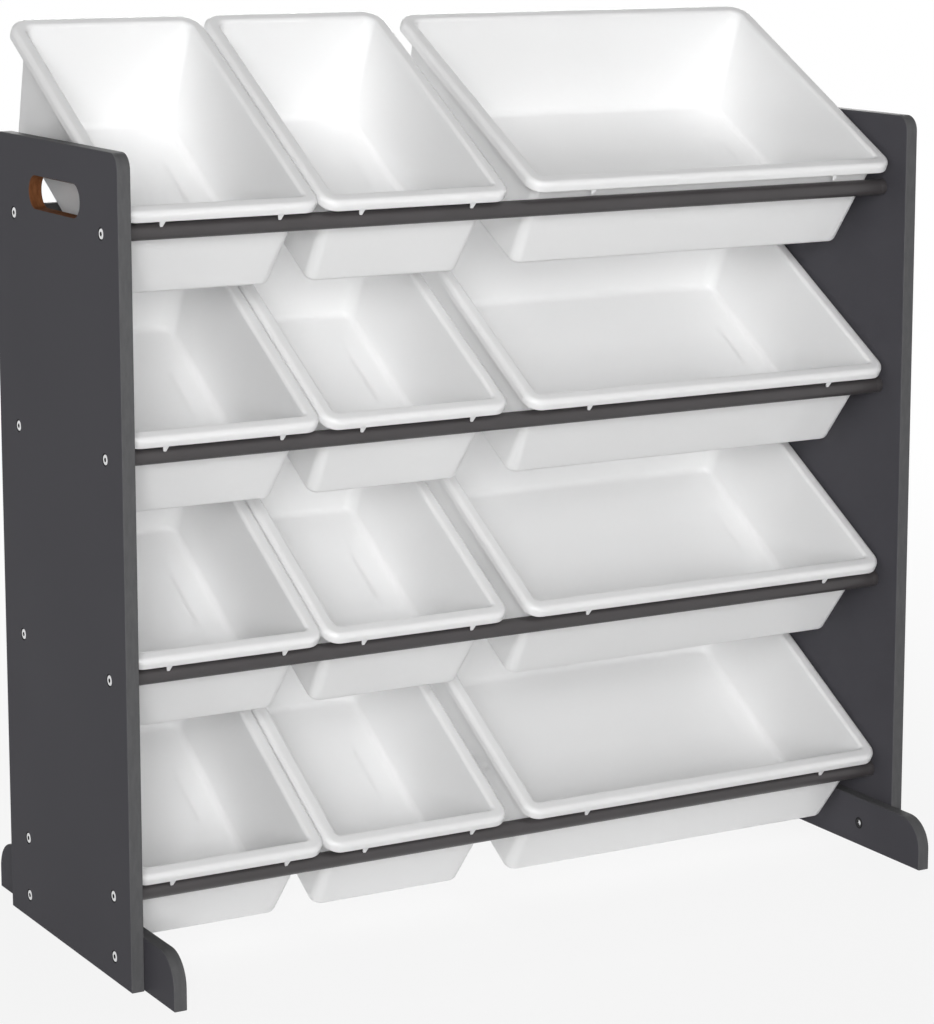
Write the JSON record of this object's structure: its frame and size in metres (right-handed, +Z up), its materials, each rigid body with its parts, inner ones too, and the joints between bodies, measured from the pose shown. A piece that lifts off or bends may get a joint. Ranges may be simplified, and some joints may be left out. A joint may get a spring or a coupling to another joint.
{
  "type": "toy storage organizer with bins",
  "caption": "Open toy rack: side boards on feet, joined by pairs of cross rods, with tilted lift-out bins in a small and a wide size hung on every tier.",
  "frame": {"origin": "on the floor, midway between the side boards and midway along the feet", "axes": "+X to the right seen from the front, -Y towards the user, +Z up"},
  "size_m": [0.86, 0.412, 0.857],
  "materials": {
    "painted_board": "satin dark grey paint on fibreboard",
    "rod_paint": "satin dark grey powder coat",
    "bin_plastic": "smooth white moulded plastic",
    "bolt_steel": "bright zinc plate",
    "zinc_steel": "zinc plate"
  },
  "bodies": {
    "frame": {"left_side_board": "painted_board", "left_foot": "painted_board", "left_foot_sleeves": "zinc_steel", "left_rod_plugs": "zinc_steel", "left_rod_bolts": "bolt_steel", "left_foot_bolts": "bolt_steel", "right_side_board": "painted_board", "right_foot": "painted_board", "right_foot_sleeves": "zinc_steel", "right_rod_plugs": "zinc_steel", "right_rod_bolts": "bolt_steel", "right_foot_bolts": "bolt_steel", "top_front_rod": "rod_paint", "top_back_rod": "rod_paint", "upper_front_rod": "rod_paint", "upper_back_rod": "rod_paint", "lower_front_rod": "rod_paint", "lower_back_rod": "rod_paint", "bottom_front_rod": "rod_paint", "bottom_back_rod": "rod_paint"},
    "top_left_bin_body": {"top_left_bin": "bin_plastic"},
    "top_middle_bin_body": {"top_middle_bin": "bin_plastic"},
    "top_wide_bin_body": {"top_wide_bin": "bin_plastic"},
    "upper_left_bin_body": {"upper_left_bin": "bin_plastic"},
    "upper_middle_bin_body": {"upper_middle_bin": "bin_plastic"},
    "upper_wide_bin_body": {"upper_wide_bin": "bin_plastic"},
    "lower_left_bin_body": {"lower_left_bin": "bin_plastic"},
    "lower_middle_bin_body": {"lower_middle_bin": "bin_plastic"},
    "lower_wide_bin_body": {"lower_wide_bin": "bin_plastic"},
    "bottom_left_bin_body": {"bottom_left_bin": "bin_plastic"},
    "bottom_middle_bin_body": {"bottom_middle_bin": "bin_plastic"},
    "bottom_wide_bin_body": {"bottom_wide_bin": "bin_plastic"}
  },
  "joints": [
    {"name": "top_left_bin_lift", "type": "slide", "parent": "frame", "child": "top_left_bin_body", "axis": [0, -0.5154, 0.857], "range_m": [0, 0.16]},
    {"name": "top_middle_bin_lift", "type": "slide", "parent": "frame", "child": "top_middle_bin_body", "axis": [0, -0.5154, 0.857], "range_m": [0, 0.16]},
    {"name": "top_wide_bin_lift", "type": "slide", "parent": "frame", "child": "top_wide_bin_body", "axis": [0, -0.4784, 0.8781], "range_m": [0, 0.16]},
    {"name": "upper_left_bin_tip", "type": "hinge", "parent": "frame", "child": "upper_left_bin_body", "pos_m": [0, 0.0975, 0.4815], "axis": [-1, 0, 0], "range_deg": [0, 28]},
    {"name": "upper_middle_bin_tip", "type": "hinge", "parent": "frame", "child": "upper_middle_bin_body", "pos_m": [0, 0.0975, 0.4815], "axis": [-1, 0, 0], "range_deg": [0, 28]},
    {"name": "upper_wide_bin_tip", "type": "hinge", "parent": "frame", "child": "upper_wide_bin_body", "pos_m": [0, 0.0975, 0.4815], "axis": [-1, 0, 0], "range_deg": [0, 28]},
    {"name": "lower_left_bin_tip", "type": "hinge", "parent": "frame", "child": "lower_left_bin_body", "pos_m": [0, 0.0975, 0.281], "axis": [-1, 0, 0], "range_deg": [0, 28]},
    {"name": "lower_middle_bin_tip", "type": "hinge", "parent": "frame", "child": "lower_middle_bin_body", "pos_m": [0, 0.0975, 0.281], "axis": [-1, 0, 0], "range_deg": [0, 28]},
    {"name": "lower_wide_bin_tip", "type": "hinge", "parent": "frame", "child": "lower_wide_bin_body", "pos_m": [0, 0.0975, 0.281], "axis": [-1, 0, 0], "range_deg": [0, 28]},
    {"name": "bottom_left_bin_tip", "type": "hinge", "parent": "frame", "child": "bottom_left_bin_body", "pos_m": [0, 0.0975, 0.0805], "axis": [-1, 0, 0], "range_deg": [0, 28]},
    {"name": "bottom_middle_bin_tip", "type": "hinge", "parent": "frame", "child": "bottom_middle_bin_body", "pos_m": [0, 0.0975, 0.0805], "axis": [-1, 0, 0], "range_deg": [0, 28]},
    {"name": "bottom_wide_bin_tip", "type": "hinge", "parent": "frame", "child": "bottom_wide_bin_body", "pos_m": [0, 0.0975, 0.0805], "axis": [-1, 0, 0], "range_deg": [0, 28]}
  ]
}
